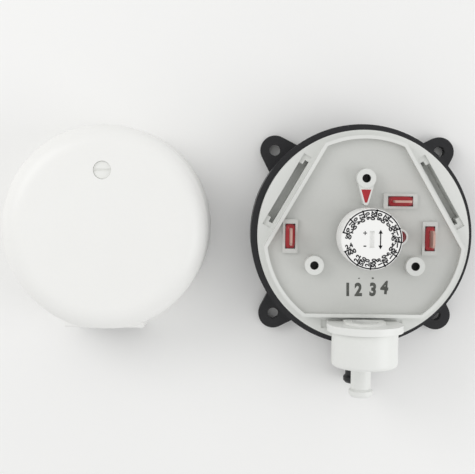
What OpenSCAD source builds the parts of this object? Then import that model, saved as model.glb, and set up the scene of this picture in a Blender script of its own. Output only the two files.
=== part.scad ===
// Round differential pressure switch for air, with its cover taken off and laid beside it.
// The origin is the switch's own axis on its back face, +Z points out of the front.
// The cable gland and both hose stubs point towards -Y. All sizes are in millimetres.

/* [Housing] */
// Radius of the upper body's flange
body_r = 40; // [39.5:0.5:43]
// Thickness of the lower shell's lip around the upper body
lip_wall = 2.35; // [2:0.05:3]
// Gap between the lip and the upper body
lip_gap = 0.15; // [0.1:0.05:0.3]
// Height of the lower shell's rim above the back face
rim_top = 20.4; // [20:0.1:21.5]
// Height of the upper body's flange above the back face
flange_top = 26.4; // [26:0.2:29]
// Height of the joint between lower shell and upper body
seam_z = 12; // [11:0.25:12.5]
// Thickness of the pressure chamber's floor
floor_t = 2.4; // [2:0.2:3.2]
// Thickness of the lower shell's ledge that carries the upper body
ledge_t = 2; // [1.6:0.2:2.6]
// Width of the clamped land outside the diaphragm's bead
land_w = 4.8; // [4.6:0.1:5.4]

/* [Mounting ears] */
// Distance between neighbouring ear holes
ear_pitch = 65.8; // [64:0.2:70]
// Radius of each ear hole
ear_hole_r = 2.2; // [1.6:0.1:2.6]
// Radius of each ear's rounded end
ear_r = 5.86; // [5:0.1:7]
// Thickness of the ears
ear_t = 4; // [3:0.5:6]
// Angle by which an ear's sides widen towards the shell
ear_flare = 18; // [10:1:24]

/* [Hose stubs] */
// Radius of a hose stub
stub_r = 3.9; // [3.4:0.1:4]
// Radius of the bead at a stub's end
bead_r = 4.7; // [4.4:0.1:5]
// Radius of the air passage
passage_r = 2; // [1.5:0.1:2.2]
// Height of the lower stub's axis
low_port_z = 6; // [5.8:0.1:6.4]
// Reach of the lower stub from the switch's axis
low_port_reach = 60.2; // [56:0.5:66]
// Reach of the upper stub from the switch's axis
high_port_reach = 62.9; // [60:0.1:70]
// Place of the lower stub's axis along X
low_port_x = 0.5; // [0:0.1:1]
// Place of the upper stub's axis along X
high_port_x = 1.1; // [0:0.1:1.4]

/* [Terminal pocket] */
// Rise of the pocket's floor above the flange
floor_rise = 2.1; // [1.6:0.1:2.6]
// Height of the pocket's wall above the flange
wall_h = 4.6; // [4:0.2:6]
// Thickness of the pocket's wall
wall_t = 1.3; // [1:0.1:1.6]
// Width of the flange outside the three straight walls
rim_w = 9.5; // [9.1:0.1:9.9]
// Thickness of the deck under the pocket
deck_t = 2.2; // [2:0.1:2.6]
// Radius of the circle through the cover screw bosses
boss_circle_r = 21.73; // [21:0.1:22.5]
// Outer radius of a cover screw boss
boss_r = 3.55; // [3.2:0.1:4]
// Radius of a cover screw boss's hole
boss_hole_r = 1.55; // [1.2:0.05:1.8]
// Height of the cover screw bosses above the flange
boss_h = 6.5; // [6:0.2:7.5]

/* [Rim slots] */
// Width of a rim slot
slot_w = 3.2; // [3:0.1:3.4]
// Length of a rim slot's shallow recess
slot_l = 30.8; // [29:0.2:31.4]
// Depth of a rim slot's shallow recess
slot_shelf = 0.8; // [0.6:0.1:1.4]
// Length of a rim slot's deep part
slot_deep_l = 23.3; // [21:0.5:25]
// Distance from the pocket's wall to a rim slot's centre line
slot_gap = 3.1; // [3:0.1:3.3]

/* [Dial] */
// Radius of the adjusting dial
dial_r = 10.9; // [10:0.1:12]
// Height of the dial's drum
dial_h = 16.4; // [12:0.2:18]
// Radius of the dial's spindle in its bush
spindle_r = 3; // [2.8:0.1:3.2]
// Running gap around the spindle
run_gap = 0.05; // [0.03:0.01:0.09]
// Radius of the spindle's threaded end
thread_r = 2.5; // [2.2:0.1:2.6]

/* [Diaphragm] */
// Thickness of the membrane
membrane_t = 0.6; // [0.4:0.1:0.8]
// Width of the clamped bead
seal_w = 1.8; // [1.5:0.1:2]
// Height of the clamped bead
seal_h = 1.6; // [1.2:0.1:2]
// Depth by which the membrane's middle hangs below its edge
dish = 2; // [1.8:0.1:2.4]
// Width of the membrane's free ring around the stiffening plate
roll_w = 6.5; // [5.5:0.5:8.5]
// Thickness of the stiffening plate
plate_t = 1.2; // [1:0.1:1.6]
// Travel of the plate under full pressure
plate_travel = 1.5; // [1:0.1:1.6]

/* [Range spring] */
// Mean radius of the spring's coil
spring_r = 4.2; // [4:0.1:4.4]
// Radius of the spring's wire
wire_r = 0.4; // [0.3:0.05:0.45]
// Number of turns
spring_turns = 5; // [4:1:6]
// Length of the spring at rest
spring_l = 8.5; // [8:0.25:9]

/* [Contacts] */
// Width of a terminal tab
tab_w = 6.3; // [4.8:0.1:6.3]
// Thickness of the tabs and of the contact strips
tab_t = 0.8; // [0.5:0.1:0.8]
// Height of the tabs above the pocket's floor
tab_h = 8.8; // [7:0.2:10]
// Distance from the lever's pivot to the push pin
pin_arm = 17; // [16:0.5:18]
// Distance of the contacts in from the upper chamber's wall, along Y
contact_inset = 12.8; // [12.3:0.1:13.3]
// Width of the contact lever
lever_w = 5; // [4:0.2:5.4]
// Thickness of the contact lever
lever_t = 0.6; // [0.4:0.1:0.8]
// Height of the lever above the plate at rest
lever_rise = 7; // [6.8:0.1:7.6]
// Radius of the contact buttons
button_r = 1.5; // [1.2:0.1:1.8]
// Radius of the lever's pivot pin
pivot_r = 1; // [0.8:0.1:1.2]

/* [Cable gland] */
// Height of the gland's axis above the flange
gland_rise = 9.6; // [9.4:0.1:10.4]
// Outer radius of the gland's nut
nut_r = 12.25; // [12:0.05:12.6]
// Length of the gland's nut
nut_l = 13; // [12:0.5:15]
// Radius of the gland's collar
collar_r = 14.1; // [13.6:0.1:14.2]
// Thickness of the gland's collar
collar_t = 2.7; // [2.4:0.1:2.8]
// Radius of the gland's thread
gland_thread_r = 9.9; // [9.6:0.1:10.4]
// Radius of the cable passage
cable_r = 5; // [4:0.2:5.6]
// Outer radius of the gland's inner tube
tube_r = 7.6; // [6.8:0.05:7.7]
// Step from a rim slot's end in to the gland's foot
foot_set = 2; // [0.2:0.1:2.4]

/* [Cover] */
// Height of the cover
cover_h = 31.5; // [30:0.5:36]
// Thickness of the cover's wall
cover_t = 1.6; // [1.4:0.1:1.8]
// Step from the flange's edge in to the cover's wall
cover_set = 0.3; // [0.1:0.1:0.5]
// Gap between the cover and the pocket's wall
cover_fit = 0.3; // [0.2:0.1:0.5]
// Radius of the rounded edge
cover_round = 9; // [7:0.5:11]
// Step from the cover's round side in to its flat side
flat_set = 1.3; // [1:0.1:1.7]
// Wall of the flat side on either side of the gland's arch
arch_wall = 2.3; // [2.1:0.1:3.2]
// Depth of the block that carries the flat side
block_depth = 17.8; // [16:0.2:20]
// Place of the cover's axis along X
cover_x = -98.2; // [-110:0.2:-92]
// Place of the cover's axis along Y
cover_y = 2; // [-6:0.5:6]
// Radius of the screw well
well_r = 3.4; // [3.2:0.1:4]
// Depth of the screw well
well_depth = 13; // [11:0.5:14]

/* [Hidden] */

$fn = 96;
// Overshoot of a cut past the surface it opens
cut = 1;
// Depth by which a joined detail is rooted in what carries it
root = 0.5;

ring_r = body_r + lip_gap + lip_wall;
lip_in_r = body_r + lip_gap;
seal_out_r = body_r - land_w;
chamber_r = seal_out_r - seal_w - 0.9;
inner_wall_t = 2;
inner_wall_r = chamber_r + inner_wall_t;
plate_r = chamber_r - roll_w;
ear_dist = ear_pitch / sqrt(2);

// Six screws hold the two housing halves together from the back
screw_count = 6;
screw_circle_r = body_r - land_w / 2;
screw_r = 1.3;
screw_head_r = 2.4;
screw_head_h = 1.8;
screw_sink = 6;
screw_bite = 7;
screw_slack = 0.3;

// Heights of the stack from the membrane up
membrane_z = seam_z - dish - membrane_t / 2;
plate_z = membrane_z + membrane_t;
plate_top = plate_z + plate_t;
seat_z = plate_top + spring_l;
seat_t = 2.2;
floor_z = flange_top + floor_rise;
deck_z = floor_z - deck_t;
wall_top = flange_top + wall_h;
boss_top = flange_top + boss_h;

// The cover's wall stands around the pocket's wall, on the flange
cover_r = body_r - cover_set;
cover_in_r = cover_r - cover_t;
pocket_wall_r = cover_in_r - cover_fit;
pocket_r = pocket_wall_r - wall_t;
chord_d = body_r - rim_w - wall_t;
slot_d = chord_d + wall_t + slot_gap;

// Chamber above the membrane: wide at the membrane, narrower under the rim slots
upper_chamber_r = slot_d - slot_w / 2 - 1.5;
chamber_step_z = seam_z + 4.8;
slot_floor_z = chamber_step_z + 2;

// Gland and upper hose stub, one above the other on the same side
gland_z = flange_top + gland_rise;
gland_y = slot_d - slot_w / 2;
gland_tube_y = gland_y - 0.7;
tube_corner = 1.7;
nut_y = gland_y + collar_t + 0.1;
nut_end_wall = 2.3;
ring_t = 1.2;
high_port_z = gland_z - nut_r - stub_r - 0.55;
leg_in = stub_r + 1.1;
leg_out = slot_deep_l / 2 - 0.35;
foot_half = slot_l / 2 - foot_set;

// Dial: its drum stands just above the cover screw bosses
dial_z = boss_top + 0.1;
dial_top = dial_z + dial_h;
bush_top = boss_top - 0.5;
bush_r = spindle_r + 2.2;
oring_r = 0.65;
thread_top = deck_z - 1.5;
spindle_end = seat_z - 2;
clip_t = 0.8;
clip_z = deck_z - 0.1 - clip_t;
sleeve_in_r = 7;
sleeve_out_r = 8.4;
sleeve_slot_w = 2.4;
sleeve_drop = 2.5;
guide_play = 0.2;

// Changeover lever: pivots near the second terminal and swings over the push pin
term_2 = [13.3, 13.3];
lever_x = term_2[0];
pivot_y = term_2[1];
lever_z = plate_top + lever_rise;
ear_rise = 1.1;
pivot_z = lever_z + ear_rise;
swing = plate_travel / pin_arm * 180 / PI;
pin_y = pivot_y - pin_arm;
contact_y = contact_inset - upper_chamber_r;
contact_arm = pivot_y - contact_y;
lever_nose = 2.3;
rivet_r = 0.8;
lug_r = 1.5;
pin_r = 1.2;
pin_depth = 0.6;
pin_boss_r = 2.6;
pin_boss_h = 2.5;
cup_h = 2;
button_h = 0.9;
contact_gap = 0.05;
lower_button_top = lever_z - button_h - contact_gap;
strip_low_z = lower_button_top - button_h - tab_t;
upper_button_z = lever_z + contact_arm * sin(swing) + lever_t + button_h + 0.32;
strip_high_z = upper_button_z + 0.75;
cheek_in = lever_w / 2 + 0.15;
bracket_rise = 4.2;
bracket_z = pivot_z + bracket_rise;
cheek_l = 3.8;
cheek_drop = 1.6;

// Terminal places in the pocket, measured to each tab's middle
term_1 = [1.4 - chord_d, -0.2];
term_3 = [chord_d - 4.6, -0.6];
collar_l = 12.7;
collar_w = 5.7;
collar_h = 1.2;
resin_l = 9.4;
resin_w = 3.8;
resin_depth = 2.1;
resin_low = 0.2;
tab_top = floor_z + tab_h;

// Stop screw of the lever, sealed on top
stop_xy = [13.1, 0];
stop_r = 1.5;
stop_arm = pivot_y - stop_xy[1];
stop_tip_z = pivot_z - 0.5 + stop_arm * tan(swing) + 0.2;
stop_boss_r = 3.1;
stop_boss_drop = 2.3;
stop_pot_r = 2.4;

// Cover: its parts keep the closed position's heights less the flange's
arch_r = nut_r + 0.45;
cover_flat = cover_r - flat_set;
cover_flat_w = 2 * (arch_r + arch_wall);
cover_top_t = 1.8;
cover_draft = 0.5;
cover_block_top = gland_rise + arch_r + 2.7;
cover_block_edge = 1.6;
well_wall = 1.1;
guide_r = 3;
guide_hole_r = 1.7;
guide_end = boss_h + 0.1;
screw_play = 0.25;
screw_head_drop = 0.7;
cover_screw_end = guide_end - 5.4;
screw_slot_w = 1.3;
screw_slot_h = 1.4;

// Contact strips under the deck, from each tab to the contacts
strip_near = contact_y + 2.2;
strip_far = contact_y - lever_nose;
strip_1_in = term_1[0] + 3.8;
strip_1_bend = term_1[0] + 13.8;
strip_1_out_y = -8;
strip_3_in = term_3[0] - 3.1;
strip_peg_r = 1.6;

module ring(outer, inner, z0, z1) {
  translate([0, 0, z0])
    difference() {
      cylinder(r = outer, h = z1 - z0);
      translate([0, 0, -cut]) cylinder(r = inner, h = z1 - z0 + 2 * cut);
    }
}

module rod(r, z0, z1) {
  translate([0, 0, z0]) cylinder(r = r, h = z1 - z0);
}

// A straight rod along -Y from y = -from to y = -to at height z
module rod_y(r, z, from, to) {
  translate([0, -from, z]) rotate([90, 0, 0]) cylinder(r = r, h = to - from);
}

// A box about the YZ plane, given by its half width and its limits in Y and Z
module box_x(half, y0, y1, z0, z1) {
  translate([-half, y0, z0]) cube([2 * half, y1 - y0, z1 - z0]);
}

module around(count, radius, first = 0) {
  for (i = [0 : count - 1])
    rotate(first + i * 360 / count) translate([radius, 0, 0]) children();
}

// Circle cut by three straight sides, as the pocket is
module pocket_shape(radius, straight) {
  intersection() {
    circle(r = radius);
    rotate(-30) circle(r = 2 * straight, $fn = 3);
  }
}

// Hose stub along -Y with a bead at its end
module hose_stub(x, z, from, to) {
  reach = to - from;
  translate([x, -from, z])
    rotate([90, 0, 0])
      rotate_extrude()
        polygon([
          [0, 0], [stub_r, 0], [stub_r, reach - 3.2], [bead_r, reach - 2.4],
          [bead_r, reach - 0.9], [stub_r, reach], [0, reach]
        ]);
}

// Plan of one mounting ear, its outward direction along +X
module ear_shape() {
  run = ear_dist - lip_in_r - 0.4;
  out_x = ear_r * sin(ear_flare);
  side = ear_r * cos(ear_flare);
  in_side = side + (run + out_x) * tan(ear_flare);
  circle(r = ear_r);
  polygon([[out_x, side], [-run, in_side], [-run, -in_side], [out_x, -side]]);
}

module lower_shell() {
  color([0.17, 0.17, 0.18])
    difference() {
      union() {
        rod(inner_wall_r, 0, floor_t);
        ring(inner_wall_r, chamber_r, floor_t - root, seam_z);
        ring(lip_in_r + root, chamber_r, seam_z - ledge_t, seam_z);
        ring(ring_r, lip_in_r, 0, rim_top);
        around(4, ear_dist, 45) linear_extrude(ear_t) ear_shape();
        around(screw_count, screw_circle_r) rod(screw_head_r + 1.3, 0, seam_z - root);
        around(3, 18, 30)
          translate([-6, -0.75, floor_t - root])
            cube([12, 1.5, membrane_z - floor_t + root]);
        hose_stub(low_port_x, low_port_z, chamber_r + 1, low_port_reach);
      }
      ring(seal_out_r, chamber_r - cut, seam_z - seal_h / 2, seam_z + cut);
      around(4, ear_dist, 45) rod(ear_hole_r, -cut, ear_t + cut);
      around(screw_count, screw_circle_r) rod(screw_head_r + screw_slack, -cut, screw_sink);
      around(screw_count, screw_circle_r) rod(screw_r + screw_slack, -cut, seam_z + cut);
      translate([low_port_x, 0, 0])
        rod_y(passage_r, low_port_z, chamber_r - cut, low_port_reach + cut);
      translate([high_port_x, 0, 0])
        box_x(stub_r + 0.3, -ring_r - cut, -lip_in_r + root, high_port_z - stub_r - 0.2,
              rim_top + cut);
    }
}

module housing_screws() {
  color([0.72, 0.72, 0.7])
    around(screw_count, screw_circle_r)
      difference() {
        union() {
          rod(screw_head_r, screw_sink - screw_head_h, screw_sink);
          rod(screw_r, screw_sink - root, seam_z + screw_bite);
        }
        translate([-screw_head_r, -0.3, screw_sink - screw_head_h - cut])
          cube([2 * screw_head_r, 0.6, cut + 0.8]);
      }
}

module diaphragm() {
  roll_r = plate_r + 1;
  edge_r = chamber_r - 0.3;
  top = seam_z + membrane_t / 2;
  bottom = seam_z - membrane_t / 2;
  color([0.75, 0.45, 0.3])
    rotate_extrude()
      polygon([
        [0, membrane_z], [roll_r, membrane_z], [edge_r, bottom],
        [seal_out_r - seal_w, bottom], [seal_out_r - seal_w, seam_z - seal_h / 2],
        [seal_out_r, seam_z - seal_h / 2], [seal_out_r, seam_z + seal_h / 2],
        [seal_out_r - seal_w, seam_z + seal_h / 2], [seal_out_r - seal_w, top],
        [edge_r, top], [roll_r, plate_z], [0, plate_z]
      ]);
}

module diaphragm_plate() {
  cup_r = spring_r + wire_r + 0.6;
  color([0.85, 0.85, 0.82])
    difference() {
      union() {
        rod(plate_r, plate_z, plate_top);
        ring(cup_r + 1, cup_r, plate_top - root, plate_top + cup_h);
        translate([lever_x, pin_y, 0])
          rod(pin_boss_r, plate_top - root, plate_top + pin_boss_h);
      }
      translate([lever_x, pin_y, 0])
        rod(pin_r, plate_z + pin_depth, plate_top + pin_boss_h + cut);
    }
}

module push_pin() {
  tip = lever_z - 0.08;
  color([0.92, 0.92, 0.9])
    translate([lever_x, pin_y, 0])
      rotate_extrude()
        polygon([
          [0, plate_z + pin_depth], [pin_r, plate_z + pin_depth], [pin_r, tip - pin_r / 2],
          [pin_r / 3, tip], [0, tip]
        ]);
}

// Round wire wound upwards, ends cut square
module coil(radius, wire, turns, low, high) {
  sides = 8;
  per_turn = 24;
  steps = turns * per_turn;
  rise = (high - low - 2 * wire) / steps;
  points = [
    for (i = [0 : steps], k = [0 : sides - 1])
      let (a = 360 * i / per_turn, b = 360 * k / sides, r = radius + wire * cos(b))
      [r * cos(a), r * sin(a), low + wire + rise * i + wire * sin(b)]
  ];
  walls = [
    for (i = [0 : steps - 1], k = [0 : sides - 1])
      let (p = i * sides + k, q = i * sides + (k + 1) % sides)
      [p, q, q + sides, p + sides]
  ];
  first = [for (k = [0 : sides - 1]) sides - 1 - k];
  last = [for (k = [0 : sides - 1]) steps * sides + k];
  polyhedron(points = points, faces = concat(walls, [first], [last]));
}

module range_spring() {
  color([0.7, 0.72, 0.74])
    coil(spring_r, wire_r, spring_turns, plate_top + 0.05, seat_z - 0.05);
}

module spring_seat() {
  reach = sleeve_out_r - 0.2;
  color([0.8, 0.7, 0.4])
    difference() {
      union() {
        rod(sleeve_in_r - 0.4, seat_z, seat_z + seat_t);
        translate([-reach, -sleeve_slot_w / 2 + guide_play, seat_z])
          cube([2 * reach, sleeve_slot_w - 2 * guide_play, seat_t]);
      }
      rod(thread_r + run_gap, seat_z - cut, seat_z + seat_t + cut);
    }
}

// Raised frame around one terminal, its length along X
module terminal_collar() {
  translate([-collar_l / 2, -collar_w / 2, floor_z - root])
    cube([collar_l, collar_w, collar_h + root]);
}

// Resin pot and tab slot through the deck, its length along X
module terminal_cut() {
  pot_z = floor_z + collar_h - resin_depth;
  translate([-resin_l / 2, -resin_w / 2, pot_z]) cube([resin_l, resin_w, resin_depth + cut]);
  translate([-tab_w / 2 - 0.2, -tab_t / 2 - 0.2, deck_z - cut])
    cube([tab_w + 0.4, tab_t + 0.4, deck_t + cut + root]);
}

// Puts a child at one of the three terminals, turned as that terminal is
module at_terminal(place, turn) {
  translate([place[0], place[1], 0]) rotate(turn) children();
}

module at_each_terminal() {
  at_terminal(term_1, 90) children();
  at_terminal(term_2, 0) children();
  at_terminal(term_3, 90) children();
}

// One rim slot: shallow recess, deep part and the shorter step on its inner side
module rim_slot(deep_z) {
  translate([slot_d - slot_w / 2, -slot_l / 2, flange_top - slot_shelf])
    cube([slot_w, slot_l, slot_shelf + cut]);
  translate([slot_d - slot_w / 2, -slot_deep_l / 2, deep_z])
    cube([slot_w, slot_deep_l, flange_top - deep_z + cut]);
  translate([slot_d - slot_w / 2, -slot_deep_l / 2 - 1.8, deep_z])
    cube([slot_w / 2, slot_deep_l + 3.6, flange_top - deep_z + cut]);
}

// Moulded pegs under the deck that carry the contact strips
module strip_peg(x, y, r, z) {
  translate([x, y, 0]) rod(r, z, deck_z + root);
}

// Body's block: flange, pocket wall, both chambers and the open pocket
module body_block() {
  difference() {
    union() {
      rod(body_r, seam_z, flange_top);
      translate([0, 0, flange_top - root])
        linear_extrude(wall_h + root) pocket_shape(pocket_wall_r, chord_d + wall_t);
    }
    translate([0, 0, floor_z]) linear_extrude(wall_h) pocket_shape(pocket_r, chord_d);
    rod(chamber_r, seam_z - cut, chamber_step_z);
    rod(upper_chamber_r, chamber_step_z - cut, deck_z);
    ring(seal_out_r, chamber_r - cut, seam_z - cut, seam_z + seal_h / 2);
  }
}

module switch_body() {
  color([0.82, 0.83, 0.81])
    difference() {
      union() {
        difference() {
          body_block();
          rotate(30) rim_slot(slot_floor_z);
          rotate(150) rim_slot(slot_floor_z);
          difference() {
            rotate(270) rim_slot(slot_floor_z);
            box_x(leg_in - 0.2, -body_r, -upper_chamber_r, slot_floor_z - cut,
                  flange_top - slot_shelf);
          }
          rod_y(nut_r + 0.7, gland_z, nut_y - 0.05, body_r + cut);
        }
        around(3, boss_circle_r, 90) rod(boss_r, floor_z - root, boss_top);
        translate([0, 0, floor_z - root])
          linear_extrude(boss_top - 0.5 - floor_z + root) pointer_pad();
        translate([stop_xy[0], stop_xy[1], 0]) rod(stop_boss_r, deck_z - stop_boss_drop, wall_top);
        at_each_terminal() terminal_collar();
        rod(bush_r, deck_z + root, bush_top);
        ring(sleeve_out_r, sleeve_in_r, seat_z - sleeve_drop, deck_z + root);
        strip_peg(term_1[0] + 19.8, contact_y - 0.1, strip_peg_r, strip_low_z + tab_t);
        strip_peg(term_1[0] + 6.8, (strip_1_out_y + strip_far) / 2 + 2, strip_peg_r,
                  strip_low_z + tab_t);
        strip_peg(strip_3_in - 0.2, strip_1_out_y, strip_peg_r - 0.2, strip_high_z + tab_t);
        hose_stub(high_port_x, high_port_z, body_r - 2, high_port_reach);
      }
      translate([-sleeve_out_r - cut, -sleeve_slot_w / 2, seat_z - sleeve_drop - cut])
        cube([2 * (sleeve_out_r + cut), sleeve_slot_w,
              deck_z - seat_z + sleeve_drop + cut - 0.6]);
      around(3, boss_circle_r, 90) rod(boss_hole_r, floor_z - 1.2, boss_top + cut);
      translate([0, 0, bush_top - 0.4]) linear_extrude(cut + 0.4) pointer_shape();
      translate([stop_xy[0], stop_xy[1], 0]) {
        rod(stop_r + 0.05, deck_z - stop_boss_drop - cut, wall_top + cut);
        rod(stop_pot_r, wall_top - 1.4, wall_top + cut);
      }
      at_each_terminal() terminal_cut();
      rod(spindle_r + run_gap, deck_z - cut, bush_top + cut);
      rod(spindle_r + 2 * oring_r + 0.1, bush_top - 1.8, bush_top + cut);
      around(screw_count, screw_circle_r) rod(screw_r, seam_z - cut, seam_z + screw_bite);
      translate([high_port_x, 0, 0])
        rod_y(passage_r, high_port_z, upper_chamber_r - cut, high_port_reach + cut);
    }
}

// Plan of the pad that carries the pointer, between the top boss and the dial
module pointer_pad() {
  base_y = boss_circle_r - 1;
  tip_y = dial_r + 1.8;
  polygon([[-3.3, base_y], [3.3, base_y], [1, tip_y - 0.2], [-1, tip_y - 0.2]]);
  translate([0, tip_y]) circle(r = 1);
}

// Plan of the filled pointer, its blunt tip towards the dial
module pointer_shape() {
  base_y = boss_circle_r - boss_r - 0.6;
  tip_y = dial_r + 1.8;
  polygon([[-1.86, base_y], [1.86, base_y], [0.4, tip_y], [-0.4, tip_y]]);
}

module pointer_mark() {
  color([0.72, 0.1, 0.12])
    translate([0, 0, bush_top - 0.4]) linear_extrude(0.4) pointer_shape();
}

module adjusting_dial() {
  drum_t = 1.4;
  top_t = 1.8;
  hub_r = spindle_r + 1.2;
  edge = 0.4;
  color([0.96, 0.96, 0.95])
    difference() {
      rotate_extrude()
        polygon([
          [0, spindle_end], [thread_r, spindle_end], [thread_r, thread_top],
          [thread_r - 0.1, thread_top], [thread_r - 0.1, clip_z], [thread_r - 0.1, deck_z - 0.1],
          [spindle_r, deck_z - 0.1], [spindle_r, dial_z - 0.4], [hub_r, dial_z - 0.4],
          [hub_r, dial_top - top_t], [dial_r - drum_t, dial_top - top_t],
          [dial_r - drum_t, dial_z], [dial_r, dial_z], [dial_r, dial_top - edge],
          [dial_r - edge, dial_top], [0, dial_top]
        ]);
      translate([-0.85, -3, dial_top - 0.9]) cube([1.7, 6, 0.9 + cut]);
    }
}

module dial_clip() {
  color([0.5, 0.5, 0.52])
    difference() {
      ring(thread_r + 1.8, thread_r - 0.1, clip_z, clip_z + clip_t);
      translate([0, -1.6, clip_z - cut]) cube([thread_r + 3, 3.2, clip_t + 2 * cut]);
    }
}

module dial_seal() {
  color([0.12, 0.12, 0.13])
    translate([0, 0, bush_top - 1.8 + oring_r])
      rotate_extrude() translate([spindle_r + run_gap + oring_r, 0]) circle(r = oring_r, $fn = 24);
}

module stop_screw() {
  top = wall_top - 1.4;
  color([0.75, 0.68, 0.45])
    translate([stop_xy[0], stop_xy[1], 0])
      difference() {
        rod(stop_r, stop_tip_z, top);
        translate([-2, -0.25, top - 0.7]) cube([4, 0.5, 0.7 + cut]);
      }
}

module stop_screw_seal() {
  color([0.6, 0.08, 0.1])
    translate([stop_xy[0], stop_xy[1], 0]) rod(stop_pot_r, wall_top - 1.4, wall_top - 0.3);
}

// Upright tab of a terminal from z0 up to the tab's top, its width along X
module tab(z0) {
  nose = 1;
  translate([0, tab_t / 2, 0])
    rotate([90, 0, 0])
      linear_extrude(tab_t)
        polygon([
          [-tab_w / 2, z0], [tab_w / 2, z0], [tab_w / 2, tab_top - nose],
          [tab_w / 2 - nose, tab_top], [-tab_w / 2 + nose, tab_top],
          [-tab_w / 2, tab_top - nose]
        ]);
}

module terminal_1() {
  out_x = term_1[0] - tab_t / 2;
  end_x = lever_x + 2.7;
  color([0.8, 0.72, 0.45]) {
    at_terminal(term_1, 90) tab(strip_low_z);
    translate([0, 0, strip_low_z])
      linear_extrude(tab_t)
        polygon([
          [out_x, tab_w / 2 - 0.2], [strip_1_in, tab_w / 2 - 0.2], [strip_1_in, -6],
          [strip_1_bend, strip_near], [end_x, strip_near], [end_x, strip_far],
          [strip_1_bend - 2, strip_far], [out_x, strip_1_out_y]
        ]);
  }
}

module terminal_2() {
  cheek_out = cheek_in + tab_t;
  color([0.8, 0.72, 0.45])
    difference() {
      union() {
        at_terminal(term_2, 0) tab(bracket_z);
        translate([lever_x - cheek_out, pivot_y - cheek_l / 2, bracket_z])
          cube([2 * cheek_out, cheek_l, tab_t]);
        for (side = [-1, 1])
          translate([lever_x + side * (cheek_in + tab_t / 2) - tab_t / 2,
                     pivot_y - cheek_l / 2, pivot_z - cheek_drop])
            cube([tab_t, cheek_l, bracket_rise + cheek_drop + tab_t]);
      }
      translate([lever_x - cheek_out - cut, pivot_y, pivot_z])
        rotate([0, 90, 0]) cylinder(r = pivot_r, h = 2 * (cheek_out + cut));
    }
}

module terminal_3() {
  out_x = term_3[0] + tab_t / 2;
  end_x = lever_x - lever_nose;
  color([0.8, 0.72, 0.45]) {
    at_terminal(term_3, 90) tab(strip_high_z);
    translate([0, 0, strip_high_z])
      linear_extrude(tab_t)
        polygon([
          [out_x, tab_w / 2 - 0.6], [out_x, -6], [lever_x + 3.2, strip_far],
          [end_x, strip_far], [end_x, strip_near], [lever_x + 0.7, strip_near],
          [strip_3_in, -4], [strip_3_in, tab_w / 2 - 0.6]
        ]);
  }
}

// Red sealing resin in a terminal's pot, closed around the tab
module terminal_resin() {
  pot_z = floor_z + collar_h - resin_depth;
  difference() {
    translate([-resin_l / 2, -resin_w / 2, pot_z])
      cube([resin_l, resin_w, resin_depth - resin_low]);
    translate([-tab_w / 2, -tab_t / 2, pot_z - cut]) cube([tab_w, tab_t, resin_depth + 2 * cut]);
  }
}

module terminal_resin_1() {
  color([0.68, 0.08, 0.1]) at_terminal(term_1, 90) terminal_resin();
}

module terminal_resin_2() {
  color([0.68, 0.08, 0.1]) at_terminal(term_2, 0) terminal_resin();
}

module terminal_resin_3() {
  color([0.68, 0.08, 0.1]) at_terminal(term_3, 90) terminal_resin();
}

module lower_contact() {
  color([0.88, 0.88, 0.9])
    translate([lever_x, contact_y, 0]) rod(button_r, strip_low_z + tab_t, lower_button_top);
}

module upper_contact() {
  color([0.88, 0.88, 0.9])
    translate([lever_x, contact_y, 0]) rod(button_r, upper_button_z, strip_high_z);
}

module contact_lever() {
  front = contact_y - lever_nose;
  color([0.82, 0.66, 0.35])
    difference() {
      union() {
        translate([lever_x - lever_w / 2, front, lever_z])
          cube([lever_w, pivot_y + lug_r - front, lever_t]);
        for (side = [-1, 1])
          translate([lever_x + side * (lever_w / 2 - lever_t / 2) - lever_t / 2, pivot_y, pivot_z]) {
            translate([0, -lug_r, -ear_rise]) cube([lever_t, 2 * lug_r, ear_rise]);
            rotate([0, 90, 0]) cylinder(r = lug_r, h = lever_t);
          }
      }
      translate([lever_x - lever_w, pivot_y, pivot_z])
        rotate([0, 90, 0]) cylinder(r = pivot_r + run_gap, h = 2 * lever_w);
      translate([lever_x, contact_y, 0]) rod(rivet_r, lever_z - cut, lever_z + lever_t + cut);
    }
}

// Riveted button with a contact face on both sides of the lever
module lever_contact() {
  color([0.88, 0.88, 0.9])
    translate([lever_x, contact_y, 0]) {
      rod(button_r, lever_z - button_h, lever_z);
      rod(rivet_r, lever_z - root, lever_z + lever_t + root);
      rod(button_r, lever_z + lever_t, lever_z + lever_t + button_h);
    }
}

module lever_pin() {
  half = cheek_in + tab_t + 0.5;
  color([0.7, 0.7, 0.72])
    translate([lever_x - half, pivot_y, pivot_z])
      rotate([0, 90, 0]) cylinder(r = pivot_r, h = 2 * half);
}

// Gland lengths along -Y: collar, thread, then the seal that stands a little proud
thread_end = nut_y + nut_l - nut_end_wall - ring_t - 0.3;
seal_l = 7;

module gland_body() {
  seal_from = thread_end + 0.3 - seal_l;
  color([0.89, 0.9, 0.87])
    difference() {
      union() {
        rod_y(collar_r, gland_z, gland_y, gland_y + collar_t);
        rod_y(tube_r, gland_z, gland_tube_y, gland_y + root);
        intersection() {
          box_x(tube_r, -gland_y - root, -gland_tube_y, gland_z - tube_r, gland_z);
          rod_y(tube_r + tube_corner, gland_z, gland_tube_y, gland_y + root);
        }
        rod_y(gland_thread_r, gland_z, gland_y + collar_t - root, thread_end);
        box_x(foot_half, -gland_y - collar_t, -gland_y, flange_top - slot_shelf, wall_top);
        for (side = [-1, 1])
          translate([side * (leg_in + leg_out) / 2 - (leg_out - leg_in) / 2,
                     -gland_y - collar_t, slot_floor_z + 0.3])
            cube([leg_out - leg_in, collar_t, flange_top - slot_floor_z]);
      }
      rod_y(cable_r, gland_z, gland_tube_y - cut, thread_end + cut);
      rod_y(cable_r + 2.9, gland_z, seal_from, thread_end + cut);
      box_x(leg_in, -gland_y - collar_t - cut, -gland_y + cut, 0, flange_top - slot_shelf);
    }
}

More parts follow.
